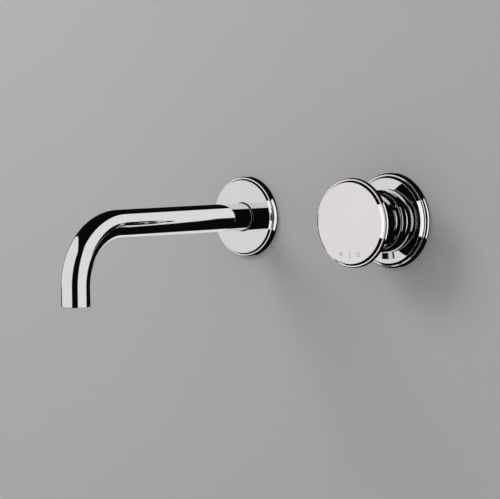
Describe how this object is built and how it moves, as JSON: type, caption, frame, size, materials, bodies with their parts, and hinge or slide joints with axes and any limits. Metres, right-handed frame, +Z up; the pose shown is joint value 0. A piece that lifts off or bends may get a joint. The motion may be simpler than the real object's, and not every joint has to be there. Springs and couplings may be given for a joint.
{
  "type": "concealed basin mixer",
  "caption": "Wall-mounted concealed basin mixer: a bent round tube spout and a tilt-and-turn disc knob on stepped round rosettes, fed by a brass body inside the wall.",
  "frame": {"origin": "where the control axis meets the finished wall plane, at the centre of the knob rosette's back rim", "axes": "+X right as the user faces the wall, +Y into the wall, +Z up; the spout comes out along -Y"},
  "size_m": [0.24, 0.2715, 0.098],
  "materials": {
    "chrome_spout": "mirror polished chrome on brass tube",
    "chrome_rosette": "mirror polished chrome on turned brass",
    "chrome_knob": "mirror polished chrome on turned brass",
    "chrome_sleeve": "polished chrome on turned brass",
    "mark_fill": "grey enamel in a shallow engraving",
    "cast_brass": "shot blasted casting with machined faces",
    "turned_brass": "bright turned brass",
    "steel_plate": "zinc plated sheet steel",
    "screw_steel": "stainless steel",
    "link_pipe": "drawn brass pipe",
    "white_plastic": "moulded acetal",
    "grey_plastic": "moulded acetal",
    "black_rubber": "moulded rubber",
    "foam_seal": "closed cell foam",
    "fibre_washer": "red fibre",
    "white_ceramic": "lapped ceramic",
    "plug_plastic": "grey plug"
  },
  "bodies": {
    "root": {"valve_body": "cast_brass", "mounting_plate": "steel_plate", "plate_screws": "screw_steel", "link_pipe": "link_pipe", "link_nuts": "turned_brass", "link_olives": "turned_brass", "spout_elbow": "cast_brass", "spout_nipple": "turned_brass", "nipple_washer": "fibre_washer", "nipple_rings": "black_rubber", "spout_tube": "chrome_spout", "spout_set_screw": "screw_steel", "spout_rosette": "chrome_rosette", "spout_rosette_ring": "black_rubber", "spout_wall_seal": "foam_seal", "aerator_shell": "turned_brass", "aerator_insert": "white_plastic", "aerator_washer": "black_rubber", "knob_rosette": "chrome_rosette", "knob_rosette_ring": "black_rubber", "knob_wall_seal": "foam_seal", "control_sleeve": "chrome_sleeve", "dome_cap": "chrome_sleeve", "cartridge_nut": "turned_brass", "cartridge_housing": "white_plastic", "cartridge_base": "grey_plastic", "base_seals": "black_rubber", "disc_gasket": "black_rubber", "fixed_disc": "white_ceramic"},
    "carrier": {"lever_carrier": "grey_plastic", "lever_pin": "screw_steel"},
    "slide": {"disc_driver": "white_plastic", "moving_disc": "white_ceramic"},
    "knob": {"lever_stem": "turned_brass", "knob_hub": "chrome_knob", "knob_disc": "chrome_knob", "knob_set_screw": "screw_steel", "screw_plug": "plug_plastic", "temperature_marks": "mark_fill"}
  },
  "joints": [
    {"name": "temperature_turn", "type": "hinge", "parent": "root", "child": "carrier", "pos_m": [0, 0, 0], "axis": [0, -1, 0], "range_deg": [-45, 45]},
    {"name": "flow_tilt", "type": "hinge", "parent": "carrier", "child": "knob", "pos_m": [0, 0.002, 0], "axis": [-1, 0, 0], "range_deg": [0, 15]},
    {"name": "disc_slide", "type": "slide", "parent": "carrier", "child": "slide", "axis": [0, 0, -1], "range_m": [0, 0.0032]}
  ],
  "couplings": [
    {"joint": "disc_slide", "follows": "flow_tilt", "m_per_rad": 0.012}
  ]
}
